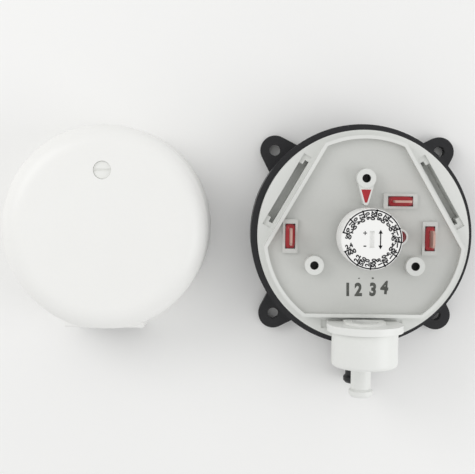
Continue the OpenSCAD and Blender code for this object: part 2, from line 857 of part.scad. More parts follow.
module gland_seal() {
  seal_from = thread_end + 0.3 - seal_l;
  color([0.2, 0.2, 0.21])
    difference() {
      rod_y(cable_r + 2.9, gland_z, seal_from, thread_end + 0.3);
      rod_y(cable_r + 0.4, gland_z, seal_from - cut, thread_end + 0.3 + cut);
    }
}

module gland_ring() {
  ring_y = nut_y + nut_l - nut_end_wall - ring_t;
  color([0.85, 0.85, 0.83])
    difference() {
      rod_y(cable_r + 3.3, gland_z, ring_y, ring_y + ring_t);
      rod_y(cable_r + 0.75, gland_z, ring_y - cut, ring_y + ring_t + cut);
    }
}

module gland_nut() {
  end = nut_l;
  round_r = 1.6;
  bore = gland_thread_r + run_gap + 0.03;
  hole = cable_r + 1.5;
  color([0.9, 0.91, 0.88])
    translate([0, -nut_y, gland_z])
      rotate([90, 0, 0])
        rotate_extrude()
          polygon(concat(
            [[bore, 0], [nut_r - 0.3, 0], [nut_r, 0.3]],
            [for (a = [0 : 15 : 90])
              [nut_r - round_r + round_r * cos(a), end - round_r + round_r * sin(a)]],
            [[hole, end], [hole, end - nut_end_wall], [bore, end - nut_end_wall]]
          ));
}

// Half section of the cover's dome, outside or inside by the inset
module dome_section(inset, top_inset) {
  r0 = cover_r - inset;
  r1 = r0 - cover_draft;
  top = cover_h - top_inset;
  edge = cover_round - inset;
  polygon(concat(
    [[0, inset > 0 ? -cut : 0], [r0, inset > 0 ? -cut : 0]],
    [for (a = [0 : 10 : 90]) [r1 - edge + edge * cos(a), top - edge + edge * sin(a)]],
    [[0, top]]
  ));
}

// Flat-sided block around the gland's arch, its upper edge rounded
module cover_block(inset, low) {
  half = cover_flat_w / 2 - inset;
  face = cover_flat - inset;
  back = block_depth - cover_flat;
  top = cover_block_top - inset;
  edge = cover_block_edge - inset / 2;
  rotate([90, 0, 90])
    translate([0, 0, -half])
      linear_extrude(2 * half)
        polygon(concat(
          [[back, low], [-face, low]],
          [for (a = [180 : -15 : 90])
            [-face + edge + edge * cos(a), top - edge + edge * sin(a)]],
          [[back, top]]
        ));
}

module cover_at_origin() {
  floor_of_well = cover_h - well_depth;
  difference() {
    union() {
      difference() {
        union() {
          difference() {
            rotate_extrude() dome_section(0, 0);
            translate([-cover_flat_w / 2, -cover_r - cut, -cut])
              cube([cover_flat_w, cover_r - cover_flat + cut, cover_h + 2 * cut]);
          }
          cover_block(0, 0);
        }
        difference() {
          rotate_extrude() dome_section(cover_t, cover_top_t);
          translate([-cover_r, -cover_r - cut, -cut - 1])
            cube([2 * cover_r, cover_r - cover_flat + cover_t + cut, cover_h + 2 * cut]);
        }
        cover_block(cover_t, -cut);
      }
      translate([0, boss_circle_r, 0]) {
        rod(well_r + well_wall, floor_of_well - 1.5, cover_h - root);
        rod(guide_r, guide_end, floor_of_well - root);
      }
    }
    translate([0, boss_circle_r, 0]) {
      rod(well_r, floor_of_well, cover_h + cut);
      rod(guide_hole_r, guide_end - cut, cover_h);
    }
    rod_y(arch_r, gland_rise, cover_flat - cover_t - 3, cover_flat + cut + 3);
    box_x(arch_r, -cover_flat - cut - 3, -cover_flat + cover_t + 3, -cut, gland_rise);
  }
}

module cover() {
  color([0.95, 0.95, 0.93]) translate([cover_x, cover_y, 0]) cover_at_origin();
}

// Long-headed screw, loose in the cover's well, slotted on top
module cover_screw() {
  seat = cover_h - well_depth;
  top = cover_h - screw_head_drop;
  head_r = well_r - screw_play;
  color([0.9, 0.9, 0.88])
    translate([cover_x, cover_y + boss_circle_r, 0])
      difference() {
        union() {
          rod(head_r, seat, top);
          rod(boss_hole_r, cover_screw_end, seat + root);
        }
        translate([-head_r, -screw_slot_w / 2, top - screw_slot_h])
          cube([2 * head_r, screw_slot_w, screw_slot_h + cut]);
      }
}

lower_shell();
housing_screws();
diaphragm();
diaphragm_plate();
push_pin();
range_spring();
spring_seat();
switch_body();
adjusting_dial();
dial_clip();
dial_seal();
pointer_mark();
stop_screw();
stop_screw_seal();
terminal_1();
terminal_2();
terminal_3();
terminal_resin_1();
terminal_resin_2();
terminal_resin_3();
lower_contact();
upper_contact();
contact_lever();
lever_contact();
lever_pin();
gland_body();
gland_seal();
gland_ring();
gland_nut();
cover();
cover_screw();
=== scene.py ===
"""Looks of a round differential pressure switch, lying on its back with its cover beside it.

Lengths are in metres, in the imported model's own frame: the switch's axis is Z, its front faces up.
"""
import math

import bmesh
import bpy
import numpy as np
from mathutils import Matrix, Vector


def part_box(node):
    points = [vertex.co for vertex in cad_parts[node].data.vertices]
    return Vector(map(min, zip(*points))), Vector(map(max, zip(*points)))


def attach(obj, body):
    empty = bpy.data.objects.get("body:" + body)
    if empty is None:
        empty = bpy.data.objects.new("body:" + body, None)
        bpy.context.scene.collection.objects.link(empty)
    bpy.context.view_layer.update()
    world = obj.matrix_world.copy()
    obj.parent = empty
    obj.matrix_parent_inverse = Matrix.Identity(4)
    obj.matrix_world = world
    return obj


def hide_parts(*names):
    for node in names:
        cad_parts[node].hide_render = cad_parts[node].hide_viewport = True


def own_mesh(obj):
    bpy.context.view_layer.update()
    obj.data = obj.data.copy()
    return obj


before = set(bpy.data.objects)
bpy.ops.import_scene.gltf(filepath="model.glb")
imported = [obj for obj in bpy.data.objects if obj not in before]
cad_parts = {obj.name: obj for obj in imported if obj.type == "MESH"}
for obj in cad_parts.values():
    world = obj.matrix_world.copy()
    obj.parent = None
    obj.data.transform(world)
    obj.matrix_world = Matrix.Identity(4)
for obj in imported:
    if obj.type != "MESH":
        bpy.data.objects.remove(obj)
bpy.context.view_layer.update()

# --- The table, the lamps and the camera ---------------------------------------------------------
# The switch is photographed from above, over the gap between it and its cover, on a white table,
# with a soft lamp at the upper left, another at the right and light walls around.
MM = 0.001  # one millimetre in metres
scene = bpy.context.scene
scene.view_settings.view_transform = "Standard"


def node_tree(owner):
    """Empties a material's or world's own node tree and returns it."""
    owner.use_nodes = True
    owner.node_tree.nodes.clear()
    return owner.node_tree


def add(tree, kind, place=(0, 0), **settings):
    """One node of the given kind at a place in the tree, with its settings."""
    node = tree.nodes.new(kind)
    node.location = place
    for name, value in settings.items():
        setattr(node, name, value)
    return node


def ring_faces(rings, sides, start=0, closed=False):
    """The quads between neighbouring rings of points: corner k of ring i, corner k of ring i + 1,
    then corner k + 1 of both. Closed also joins the last ring to the first."""
    return [(start + i * sides + k, start + (i + 1) % rings * sides + k,
             start + (i + 1) % rings * sides + (k + 1) % sides, start + i * sides + (k + 1) % sides)
            for i in range(rings if closed else rings - 1) for k in range(sides)]


def make_table():
    """A flat round sheet under the switch and its cover: a middle point and rings of points at
    growing radii, all at one level just below the height 0."""
    middle_x, level, rings, sides = -45 * MM, -0.02 * MM, 24, 96
    turn = np.linspace(0, 2 * np.pi, sides, endpoint=False)
    rr, tt = np.meshgrid(np.geomspace(0.02, 3.0, rings), turn, indexing="ij")
    points = np.stack([rr * np.cos(tt) + middle_x, rr * np.sin(tt), np.full_like(rr, level)], -1)
    points = np.concatenate([[[middle_x, 0, level]], points.reshape(-1, 3)])
    faces = [(0, 1 + k, 1 + (k + 1) % sides) for k in range(sides)]
    faces += ring_faces(rings, sides, 1)
    mesh = bpy.data.meshes.new("table_top")
    mesh.from_pydata(points.tolist(), [], faces)
    table = bpy.data.objects.new("table_top", mesh)
    scene.collection.objects.link(table)
    return table


table_top = make_table()
table_white = bpy.data.materials.new("table_white")
tree = node_tree(table_white)
place = add(tree, "ShaderNodeTexCoord")
mottle = add(tree, "ShaderNodeTexNoise")
mottle.inputs["Scale"].default_value = 9.0
mottle.inputs["Detail"].default_value = 3.0
tint = add(tree, "ShaderNodeMix", data_type="RGBA")
tint.inputs[6].default_value = (0.90, 0.90, 0.89, 1)
tint.inputs[7].default_value = (0.93, 0.93, 0.92, 1)
paper = add(tree, "ShaderNodeBsdfPrincipled")
paper.inputs["Roughness"].default_value = 0.85
paper.inputs["Specular IOR Level"].default_value = 0.1
out = add(tree, "ShaderNodeOutputMaterial")
tree.links.new(place.outputs["Object"], mottle.inputs["Vector"])
tree.links.new(mottle.outputs["Fac"], tint.inputs["Factor"])
tree.links.new(tint.outputs[2], paper.inputs["Base Color"])
tree.links.new(paper.outputs["BSDF"], out.inputs["Surface"])
table_top.data.materials.append(table_white)

world = bpy.data.worlds.new("light_walls")
scene.world = world
tree = node_tree(world)
rays = add(tree, "ShaderNodeLightPath")
seen = add(tree, "ShaderNodeMath", operation="MAXIMUM")
mirrored = add(tree, "ShaderNodeMath", operation="MAXIMUM")
strength = add(tree, "ShaderNodeMix", data_type="FLOAT")
wall_light, wall_seen = 0.74, 0.92  # as light on the object, and as seen or mirrored
strength.inputs[2].default_value = wall_light
strength.inputs[3].default_value = wall_seen
walls = add(tree, "ShaderNodeBackground")
walls.inputs["Color"].default_value = (1.0, 1.0, 1.0, 1)
out = add(tree, "ShaderNodeOutputWorld")
tree.links.new(rays.outputs["Is Camera Ray"], seen.inputs[0])
tree.links.new(rays.outputs["Is Glossy Ray"], seen.inputs[1])
tree.links.new(seen.outputs[0], mirrored.inputs[0])
tree.links.new(rays.outputs["Is Transmission Ray"], mirrored.inputs[1])
tree.links.new(mirrored.outputs[0], strength.inputs["Factor"])
tree.links.new(strength.outputs[0], walls.inputs["Strength"])
tree.links.new(walls.outputs["Background"], out.inputs["Surface"])


def soft_lamp(name, place, aim, size, watts, colour):
    """A square lamp at a place, turned so that its -Z axis points at the aim."""
    lamp = bpy.data.lights.new(name, "AREA")
    lamp.size = size
    lamp.energy = watts
    lamp.color = colour
    holder = bpy.data.objects.new(name, lamp)
    scene.collection.objects.link(holder)
    place = np.array(place)
    back = place - np.array(aim)
    back /= np.linalg.norm(back)
    side = np.cross([0, 1, 0.01], back)
    side /= np.linalg.norm(side)
    up = np.cross(back, side)
    holder.matrix_world = Matrix([[side[i], up[i], back[i], place[i]] for i in range(3)]
                                 + [[0, 0, 0, 1]])


lamps_aim = (-40 * MM, 0, 0)
soft_lamp("key_lamp", (-0.50, 0.25, 0.40), lamps_aim, size=0.36, watts=0.95,
          colour=(1.0, 0.995, 0.985))
soft_lamp("fill_lamp", (0.55, -0.12, 0.34), lamps_aim, size=0.45, watts=1.20,
          colour=(0.985, 0.99, 1.0))

photo_w, focal_px = 475, 911.93  # pixels
pitch, roll = 0.0552, 0.0114  # radians off straight down
film_w = 36  # millimetres
fwd = np.array([0, -math.sin(pitch), -math.cos(pitch)])
level_up = np.array([0, math.cos(pitch), -math.sin(pitch)])
right = np.array([math.cos(roll), 0, 0]) + math.sin(roll) * level_up
up = np.array([-math.sin(roll), 0, 0]) + math.cos(roll) * level_up
camera = bpy.data.objects.new("camera", bpy.data.cameras.new("camera"))
camera.data.sensor_width = film_w
camera.data.lens = film_w * focal_px / photo_w
camera.data.clip_start = 0.01
camera.data.clip_end = 20
eye = (-47.555 * MM, 18.11 * MM, 371 * MM)
camera.matrix_world = Matrix([[right[i], up[i], -fwd[i], eye[i]] for i in range(3)]
                             + [[0, 0, 0, 1]])
scene.collection.objects.link(camera)
scene.camera = camera

# --- Lower shell ---------------------------------------------------------------------------------
# The black half that is screwed to the wall: one moulding of glass-filled nylon with four ears,
# the lower hose stub and a lip around the grey body. Its edges have the mould's small rounds.
merge_gap = 1.5e-6  # metres: corners nearer to each other than this are one corner
flat_limit = math.radians(0.4)  # faces that turn by less than this are one flat face
sharp_limit = math.radians(32)  # edges that turn by more than this get a round


def rounded_copy(node, width):
    """A copy of a node's surface with its doubles merged and its flat regions joined, its edges
    marked sharp above an angle, and a small round of the given width run along them."""
    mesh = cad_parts[node].data.copy()
    mesh.materials.clear()
    bm = bmesh.new()
    bm.from_mesh(mesh)
    bmesh.ops.remove_doubles(bm, verts=bm.verts, dist=merge_gap)
    bmesh.ops.dissolve_limit(bm, angle_limit=flat_limit, verts=bm.verts, edges=bm.edges)
    for edge in bm.edges:
        edge.smooth = edge.is_manifold and edge.calc_face_angle(0.0) < sharp_limit
    for face in bm.faces:
        face.smooth = True
    bm.to_mesh(mesh)
    bm.free()
    piece = bpy.data.objects.new(node + "_rounded", mesh)
    scene.collection.objects.link(piece)
    bevel = piece.modifiers.new("mould_round", "BEVEL")
    bevel.width = width
    bevel.segments = 2
    bevel.limit_method = "ANGLE"
    bevel.angle_limit = sharp_limit
    bevel.use_clamp_overlap = True
    bevel.harden_normals = True
    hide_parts(node)
    return piece


def socket(group, name, way, kind, value=None):
    """Adds one named socket to a shader group."""
    made = group.interface.new_socket(name=name, in_out=way, socket_type=kind)
    if value is not None:
        made.default_value = value


def moulded_group():
    """Moulded plastic: the colour drifts a little over the piece, as flow and handling leave it,
    and carries fine specks; the roughness drifts with it; the height is a fine even grain."""
    group = bpy.data.node_groups.new("moulded_plastic", "ShaderNodeTree")
    socket(group, "Colour", "INPUT", "NodeSocketColor", (0.5, 0.5, 0.5, 1))
    socket(group, "Drift", "INPUT", "NodeSocketFloat", 0.03)
    socket(group, "Specks", "INPUT", "NodeSocketFloat", 0.02)
    socket(group, "Grain size", "INPUT", "NodeSocketFloat", 2500.0)
    socket(group, "Roughness", "INPUT", "NodeSocketFloat", 0.45)
    socket(group, "Colour", "OUTPUT", "NodeSocketColor")
    socket(group, "Roughness", "OUTPUT", "NodeSocketFloat")
    socket(group, "Height", "OUTPUT", "NodeSocketFloat")
    given = add(group, "NodeGroupInput")
    place = add(group, "ShaderNodeTexCoord")
    flow = add(group, "ShaderNodeTexNoise")
    flow.inputs["Scale"].default_value = 70.0
    flow.inputs["Detail"].default_value = 4.0
    fine = add(group, "ShaderNodeTexNoise")
    fine.inputs["Detail"].default_value = 2.0
    specks = add(group, "ShaderNodeTexNoise")
    specks.inputs["Scale"].default_value = 900.0
    specks.inputs["Detail"].default_value = 1.0
    for noise in (flow, fine, specks):
        group.links.new(place.outputs["Object"], noise.inputs["Vector"])
    group.links.new(given.outputs["Grain size"], fine.inputs["Scale"])
    centred = add(group, "ShaderNodeMath", operation="SUBTRACT")
    centred.inputs[1].default_value = 0.5
    group.links.new(flow.outputs["Fac"], centred.inputs[0])
    drift = add(group, "ShaderNodeMath", operation="MULTIPLY_ADD")
    drift.inputs[2].default_value = 1.0
    group.links.new(centred.outputs[0], drift.inputs[0])
    group.links.new(given.outputs["Drift"], drift.inputs[1])
    centred_specks = add(group, "ShaderNodeMath", operation="SUBTRACT")
    centred_specks.inputs[1].default_value = 0.5
    group.links.new(specks.outputs["Fac"], centred_specks.inputs[0])
    both = add(group, "ShaderNodeMath", operation="MULTIPLY_ADD")
    group.links.new(centred_specks.outputs[0], both.inputs[0])
    group.links.new(given.outputs["Specks"], both.inputs[1])
    group.links.new(drift.outputs[0], both.inputs[2])
    tinted = add(group, "ShaderNodeVectorMath", operation="SCALE")
    group.links.new(given.outputs["Colour"], tinted.inputs[0])
    group.links.new(both.outputs[0], tinted.inputs["Scale"])
    rough = add(group, "ShaderNodeMath", operation="MULTIPLY_ADD")
    rough.inputs[1].default_value = 0.18
    group.links.new(centred.outputs[0], rough.inputs[0])
    group.links.new(given.outputs["Roughness"], rough.inputs[2])
    sent = add(group, "NodeGroupOutput")
    group.links.new(tinted.outputs[0], sent.inputs["Colour"])
    group.links.new(rough.outputs[0], sent.inputs["Roughness"])
    group.links.new(fine.outputs["Fac"], sent.inputs["Height"])
    return group


moulded_plastic = moulded_group()


def moulded_material(name, colour, roughness, drift, specks, grain, bump, specular=0.5):
    """A material of moulded plastic with its own colour, roughness and grain."""
    material = bpy.data.materials.new(name)
    tree = node_tree(material)
    surface = add(tree, "ShaderNodeGroup", (-500, 0))
    surface.node_tree = moulded_plastic
    surface.inputs["Colour"].default_value = (*colour, 1)
    surface.inputs["Drift"].default_value = drift
    surface.inputs["Specks"].default_value = specks
    surface.inputs["Grain size"].default_value = grain
    surface.inputs["Roughness"].default_value = roughness
    relief = add(tree, "ShaderNodeBump", (-250, -200))
    relief.inputs["Strength"].default_value = bump
    relief.inputs["Distance"].default_value = 0.05 * MM
    plastic = add(tree, "ShaderNodeBsdfPrincipled")
    plastic.inputs["Specular IOR Level"].default_value = specular
    out = add(tree, "ShaderNodeOutputMaterial", (300, 0))
    tree.links.new(surface.outputs["Height"], relief.inputs["Height"])
    tree.links.new(surface.outputs["Colour"], plastic.inputs["Base Color"])
    tree.links.new(surface.outputs["Roughness"], plastic.inputs["Roughness"])
    tree.links.new(relief.outputs["Normal"], plastic.inputs["Normal"])
    tree.links.new(plastic.outputs["BSDF"], out.inputs["Surface"])
    return material


black_nylon = moulded_material("black_nylon", (0.016, 0.016, 0.018), roughness=0.42, drift=0.35,
                               specks=0.5, grain=2600.0, bump=0.10, specular=0.32)
shell = rounded_copy("lower_shell", 0.25 * MM)
shell.data.materials.append(black_nylon)
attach(shell, "housing")

# --- Grey body -----------------------------------------------------------------------------------
# The upper half that holds the contacts: one moulding of light grey plastic with the terminal
# pocket, the bosses, the rim slots and the upper hose stub. Over the pocket's floor and the
# terminal frames its grey is painted darker as painted shade, and inside the bosses' holes it is
# painted near black as painted shade.
# The second grey is painted shade on the pocket's floor; the near black is painted shade in the boss
# holes.
body_grey, floor_shade_grey, stub_grey = (0.725, 0.735, 0.71), (0.59, 0.597, 0.573), (0.80, 0.81, 0.785)
hole_shade_dark = (0.07, 0.072, 0.065)
floor_middle, floor_half = 28.85 * MM, 1.25 * MM
stub_start = -41.0 * MM
boss_circle, boss_hole, boss_angles = 21.73 * MM, 1.6 * MM, (90, 210, 330)


def body_material():
    """Grey plastic. From floor_half below to floor_half above floor_middle, over the floor and the
    terminal frames, its colour steps to a darker grey that is painted shade, and past stub_start, on
    the hose stub, to a paler one; nearer than boss_hole to a boss's axis it is painted near black,
    as painted shade in the holes."""
    material = moulded_material("grey_plastic", body_grey, roughness=0.46, drift=0.05, specks=0.03,
                                grain=2200.0, bump=0.05)
    tree = material.node_tree
    surface = next(n for n in tree.nodes if n.type == "GROUP")
    place = add(tree, "ShaderNodeTexCoord", (-1700, 0))
    axes = add(tree, "ShaderNodeSeparateXYZ", (-1500, 0))
    low = add(tree, "ShaderNodeMath", (-1300, 200), operation="COMPARE")
    low.inputs[1].default_value = floor_middle
    low.inputs[2].default_value = floor_half
    beyond = add(tree, "ShaderNodeMath", (-1300, 400), operation="LESS_THAN")
    beyond.inputs[1].default_value = stub_start
    stub_tone = add(tree, "ShaderNodeMix", (-1300, 600), data_type="RGBA")
    stub_tone.inputs[6].default_value = (*body_grey, 1)
    stub_tone.inputs[7].default_value = (*stub_grey, 1)
    # The darker floor tone is painted shade: the floor is the same plastic as the flange.
    tone = add(tree, "ShaderNodeMix", (-1100, 0), data_type="RGBA")
    tone.inputs[7].default_value = (*floor_shade_grey, 1)
    flat = add(tree, "ShaderNodeVectorMath", (-1500, -200), operation="MULTIPLY")
    flat.inputs[1].default_value = (1, 1, 0)
    tree.links.new(place.outputs["Object"], axes.inputs[0])
    tree.links.new(place.outputs["Object"], flat.inputs[0])
    tree.links.new(axes.outputs["Y"], beyond.inputs[0])
    tree.links.new(beyond.outputs[0], stub_tone.inputs["Factor"])
    tree.links.new(stub_tone.outputs[2], tone.inputs[6])
    tree.links.new(axes.outputs["Z"], low.inputs[0])
    tree.links.new(low.outputs[0], tone.inputs["Factor"])
    nearest = None
    for step, angle in enumerate(boss_angles):
        a = math.radians(angle)
        far = add(tree, "ShaderNodeVectorMath", (-1300, -200 - 160 * step), operation="DISTANCE")
        far.inputs[1].default_value = (boss_circle * math.cos(a), boss_circle * math.sin(a), 0)
        tree.links.new(flat.outputs[0], far.inputs[0])
        if nearest is None:
            nearest = far.outputs["Value"]
            continue
        least = add(tree, "ShaderNodeMath", (-1100, -200 - 160 * step), operation="MINIMUM")
        tree.links.new(nearest, least.inputs[0])
        tree.links.new(far.outputs["Value"], least.inputs[1])
        nearest = least.outputs[0]
    # Inside the boss holes the colour is painted near black as painted shade.
    bored = add(tree, "ShaderNodeMath", (-900, -300), operation="LESS_THAN")
    bored.inputs[1].default_value = boss_hole
    hole_shaded = add(tree, "ShaderNodeMix", (-700, 0), data_type="RGBA")
    hole_shaded.inputs[7].default_value = (*hole_shade_dark, 1)
    tree.links.new(nearest, bored.inputs[0])
    tree.links.new(bored.outputs[0], hole_shaded.inputs["Factor"])
    tree.links.new(tone.outputs[2], hole_shaded.inputs[6])
    tree.links.new(hole_shaded.outputs[2], surface.inputs["Colour"])
    return material


body = rounded_copy("switch_body", 0.22 * MM)
body.data.materials.append(body_material())
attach(body, "housing")

# --- Digits in the pocket ------------------------------------------------------------------------
# Four plain digits in dark grey ink on the pocket's floor. They are stamped by hand, so they stand
# a little unevenly, and two small dots of ink lie above them.
floor_z = 28.5 * MM
ink_low, ink_high = 0.01 * MM, 0.03 * MM  # the ink's underside and top above what carries it
digit_height, digit_bold, digit_squeeze = 4.65 * MM, 0.32 * MM, 0.82
stamp_places = [("1", -5.75, -20.4, 0.02), ("2", -1.75, -20.4, 0.0), ("3", 3.75, -20.3, -0.05),
                ("4", 8.1, -19.5, -0.08)]
speck_places = [(-1.6, -15.9, 0.33, 1), (3.6, -15.8, 0.5, 2)]


def ink_material(name, colour):
    """Dull ink that thins out in small patches."""
    return moulded_material(name, colour, roughness=0.6, drift=0.5, specks=0.9, grain=3000.0,
                            bump=0.03, specular=0.3)


def printed_text(words, height, place, turn=0.0, bold=0.0):
    """The flat mesh of a few characters as thick as the ink, its middle at a place, turned about Z,
    with its strokes made bolder. A character's height is 0.71 of the font's size."""
    curve = bpy.data.curves.new("print", "FONT")
    curve.body = words
    curve.size = height / 0.71
    curve.align_x = "CENTER"
    curve.align_y = "CENTER"
    curve.offset = bold
    curve.resolution_u = 4
    curve.extrude = (ink_high - ink_low) / 2
    holder = bpy.data.objects.new("print", curve)
    scene.collection.objects.link(holder)
    bpy.context.view_layer.update()
    drawn = holder.evaluated_get(bpy.context.evaluated_depsgraph_get())
    mesh = bpy.data.meshes.new_from_object(drawn)
    bpy.data.objects.remove(holder)
    points = np.empty(len(mesh.vertices) * 3)
    mesh.vertices.foreach_get("co", points)
    points = points.reshape(-1, 3)
    c, s = math.cos(turn), math.sin(turn)
    moved = np.stack([points[:, 0] * c - points[:, 1] * s + place[0],
                      points[:, 0] * s + points[:, 1] * c + place[1],
                      points[:, 2] + place[2] + (ink_low + ink_high) / 2], 1)
    faces = [tuple(p.vertices) for p in mesh.polygons]
    bpy.data.meshes.remove(mesh)
    return moved, faces


def printed_plate(outline, z):
    """A closed flake of ink on a level: its outline, given counter-clockwise, at the ink's
    underside and again at its top, with a face on each end and one along each edge."""
    n = len(outline)
    points = np.concatenate([np.column_stack([outline, np.full(n, z + height)])
                             for height in (ink_low, ink_high)])
    faces = [tuple(reversed(range(n))), tuple(range(n, 2 * n))]
    faces += [(k, (k + 1) % n, n + (k + 1) % n, n + k) for k in range(n)]
    return points, faces


def joined_mesh(name, parts, material):
    """One object from several (points, faces) parts."""
    points, faces, start = [], [], 0
    for co, polygons in parts:
        points.append(co)
        faces += [tuple(start + i for i in polygon) for polygon in polygons]
        start += len(co)
    mesh = bpy.data.meshes.new(name)
    mesh.from_pydata(np.concatenate(points).tolist(), [], faces)
    mesh.materials.append(material)
    piece = bpy.data.objects.new(name, mesh)
    scene.collection.objects.link(piece)
    return piece


def narrowed(part, factor, middle):
    """The same print with its width across a middle multiplied by a factor."""
    points, faces = part
    points[:, 0] = middle + (points[:, 0] - middle) * factor
    return points, faces


def speck(x, y, z, size, seed):
    """A spilt dot of ink: a flattened ring of points whose radius wavers round the given size."""
    corners = 14
    turn = np.linspace(0, 2 * np.pi, corners, endpoint=False)
    rng = np.random.default_rng(seed)
    radius = size * (1 + 0.35 * rng.uniform(-1, 1, corners))
    outline = np.stack([x + radius * np.cos(turn), y + radius * 0.7 * np.sin(turn)], -1)
    return printed_plate(outline, z)


stamp_parts = []
for digit, x, y, lean in stamp_places:
    character = printed_text(digit, digit_height, (x * MM, y * MM, floor_z), lean, digit_bold)
    stamp_parts.append(narrowed(character, digit_squeeze, x * MM))
for x, y, size, seed in speck_places:
    stamp_parts.append(speck(x * MM, y * MM, floor_z, size * MM, seed))
stamp = joined_mesh("pocket_digits", stamp_parts, ink_material("stamp_ink", (0.085, 0.088, 0.08)))
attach(stamp, "housing")

# --- Pointer -------------------------------------------------------------------------------------
# The mark that the dial's scale is read against: a blunt wedge-shaped hollow between the top boss
# and the dial, filled with glossy red lacquer by hand.


def lacquer_material(name, deep, bright, roughness):
    """Glossy coloured filling: the colour pools darker in broad patches, under a clear skin."""
    material = bpy.data.materials.new(name)
    tree = node_tree(material)
    place = add(tree, "ShaderNodeTexCoord", (-900, 0))
    pools = add(tree, "ShaderNodeTexNoise", (-700, 0))
    pools.inputs["Scale"].default_value = 520.0
    pools.inputs["Detail"].default_value = 2.0
    tone = add(tree, "ShaderNodeMix", (-500, 0), data_type="RGBA")
    tone.inputs[6].default_value = (*deep, 1)
    tone.inputs[7].default_value = (*bright, 1)
    relief = add(tree, "ShaderNodeBump", (-300, -200))
    relief.inputs["Strength"].default_value = 0.5
    relief.inputs["Distance"].default_value = 0.15 * MM
    resin = add(tree, "ShaderNodeBsdfPrincipled")
    resin.inputs["Roughness"].default_value = roughness
    resin.inputs["Specular IOR Level"].default_value = 0.35
    resin.inputs["Coat Weight"].default_value = 0.25
    resin.inputs["Coat Roughness"].default_value = 0.12
    out = add(tree, "ShaderNodeOutputMaterial", (300, 0))
    tree.links.new(place.outputs["Object"], pools.inputs["Vector"])
    tree.links.new(pools.outputs["Fac"], tone.inputs["Factor"])
    tree.links.new(pools.outputs["Fac"], relief.inputs["Height"])
    tree.links.new(tone.outputs[2], resin.inputs["Base Color"])
    tree.links.new(relief.outputs["Normal"], resin.inputs["Normal"])
    tree.links.new(resin.outputs["BSDF"], out.inputs["Surface"])
    return material


def dress(node, material):
    """Gives a node that keeps its own shape its material."""
    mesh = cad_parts[node].data
    mesh.materials.clear()
    mesh.materials.append(material)


dress("pointer_mark", lacquer_material("pointer_red", deep=(0.30, 0.008, 0.014),
                                       bright=(0.46, 0.016, 0.025), roughness=0.35))

# --- Adjusting dial ------------------------------------------------------------------------------
# A white moulded drum, turned with a screwdriver in its slot. On its top, in black, are an open
# circle with twelve ticks, plain numbers along both sides of each tick, and by the slot a double
# arrow with a plus and a minus sign.
dial_white = moulded_material("dial_white", (0.92, 0.92, 0.905), roughness=0.3, drift=0.02,
                              specks=0.01, grain=1800.0, bump=0.02)
dial = rounded_copy("adjusting_dial", 0.15 * MM)
dial.data.materials.append(dial_white)
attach(dial, "dial")

dial_top = 49.4 * MM
circle_radius, circle_width = 10.4 * MM, 0.46 * MM
tick_inner, tick_outer, tick_width = 8.0 * MM, 10.8 * MM, 0.50 * MM
tick_angles = [167, 138, 109, 81, 52, 22, -5, -34, -63, -92, -119, -155]
number_radius, number_aside = 8.35 * MM, 1.14 * MM
number_height, number_bold = 1.5 * MM, 0.115 * MM
arrow_x, arrow_half, arrow_width = 3.0 * MM, 2.6 * MM, 0.4 * MM
barb_half, barb_ahead, barb_behind = 0.75 * MM, 0.9 * MM, 0.5 * MM
sign_x, sign_y, sign_bold = -2.5 * MM, 2.1 * MM, 0.05 * MM
plus_height, minus_height = 1.9 * MM, 2.6 * MM


def flat_arc(radius, width, first, last, steps, z):
    """A thin closed strip of ink along a circle, from angle to angle: its edges lie at the radius
    less and plus half the width, at the ink's underside and top."""
    a = np.linspace(math.radians(first), math.radians(last), steps)
    ring = np.stack([np.cos(a), np.sin(a)], -1)
    corners = [(radius - width / 2, ink_low), (radius + width / 2, ink_low),
               (radius + width / 2, ink_high), (radius - width / 2, ink_high)]
    points = np.stack([np.concatenate([ring * r, np.full((steps, 1), z + h)], 1)
                       for r, h in corners], 1)
    faces = [(4 * i + k, 4 * i + (k + 1) % 4, 4 * i + 4 + (k + 1) % 4, 4 * i + 4 + k)
             for i in range(steps - 1) for k in range(4)]
    faces += [(0, 3, 2, 1), (4 * steps - 4, 4 * steps - 3, 4 * steps - 2, 4 * steps - 1)]
    return points.reshape(-1, 3), faces


def dial_axes(angle):
    """The unit vectors outwards along the dial's radius at an angle in degrees, and across it."""
    a = math.radians(angle)
    return np.array([math.cos(a), math.sin(a)]), np.array([-math.sin(a), math.cos(a)])


scale = [flat_arc(circle_radius, circle_width, tick_angles[-1], tick_angles[0], 130, dial_top)]
for step, angle in enumerate(tick_angles):
    along, across = dial_axes(angle)
    tick = [reach * along + side * across * tick_width / 2 for reach, side in (
        (tick_inner, -1), (tick_outer, -1), (tick_outer, 1), (tick_inner, 1))]
    scale.append(printed_plate(tick, dial_top))
    for side, label in ((1, str(50 * (step + 1))), (-1, "%.1f" % (0.2 * (step + 1)))):
        middle = along * number_radius + side * across * number_aside
        scale.append(printed_text(label, number_height, (*middle, dial_top),
                                  math.radians(angle) + math.pi, number_bold))
for way in (1, -1):
    tip, back = way * (arrow_half + barb_ahead), way * (arrow_half - barb_behind)
    barb = [(arrow_x, tip), (arrow_x - way * barb_half, back), (arrow_x + way * barb_half, back)]
    scale.append(printed_plate(barb, dial_top))
shaft = [(arrow_x - arrow_width / 2, -arrow_half), (arrow_x + arrow_width / 2, -arrow_half),
         (arrow_x + arrow_width / 2, arrow_half), (arrow_x - arrow_width / 2, arrow_half)]
scale.append(printed_plate(shaft, dial_top))
scale.append(printed_text("+", plus_height, (sign_x, sign_y, dial_top), 0.0, sign_bold))
scale.append(printed_text("-", minus_height, (sign_x, -sign_y, dial_top), 0.0, sign_bold))
dial_print = joined_mesh("dial_scale", scale, ink_material("scale_ink", (0.012, 0.012, 0.014)))
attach(dial_print, "dial")
